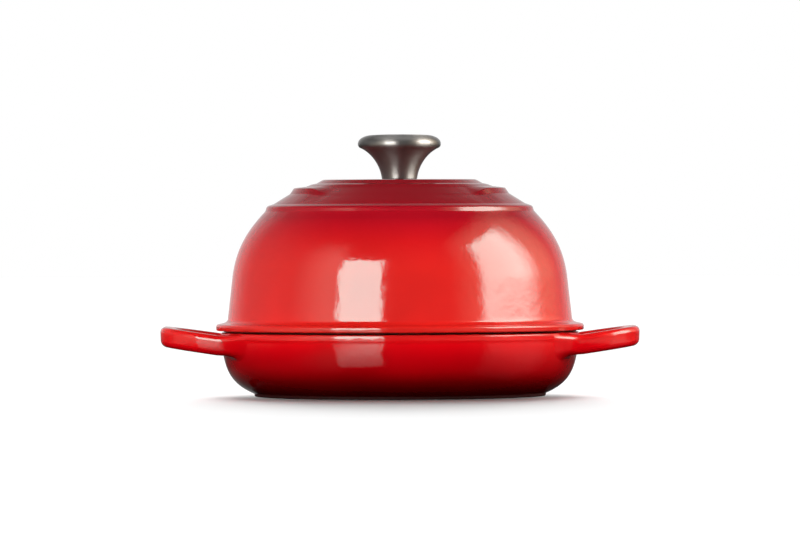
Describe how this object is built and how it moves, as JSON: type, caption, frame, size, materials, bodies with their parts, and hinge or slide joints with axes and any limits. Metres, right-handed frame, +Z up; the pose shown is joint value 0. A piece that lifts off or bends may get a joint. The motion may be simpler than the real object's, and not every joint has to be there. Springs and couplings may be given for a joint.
{
  "type": "cast iron bread oven",
  "caption": "Round enamelled cast iron bread oven: a shallow base with two loop handles under a tall domed lid with a flared steel knob; the lid lifts off.",
  "frame": {"origin": "on the ground under the middle of the base's foot ring", "axes": "+Z up along the axis of the round castings, X through the two handles, -Y towards the front, where the lid's raised ring is broken by a plain panel"},
  "size_m": [0.328, 0.252, 0.1794],
  "materials": {
    "base_enamel": "gloss red enamel outside, satin black enamel inside",
    "lid_enamel": "gloss red enamel outside, satin black enamel inside",
    "knob_steel": "satin turned stainless steel",
    "screw_steel": "zinc plated",
    "washer_steel": "zinc plated",
    "spring_steel": "zinc plated"
  },
  "bodies": {
    "base": {"base": "base_enamel"},
    "lid": {"lid": "lid_enamel", "knob": "knob_steel", "knob_screw": "screw_steel", "flat_washer": "washer_steel", "lock_washer": "spring_steel"}
  },
  "joints": [
    {"name": "lid_lift", "type": "slide", "parent": "base", "child": "lid", "axis": [0, 0, 1], "range_m": [0, 0.2]}
  ]
}
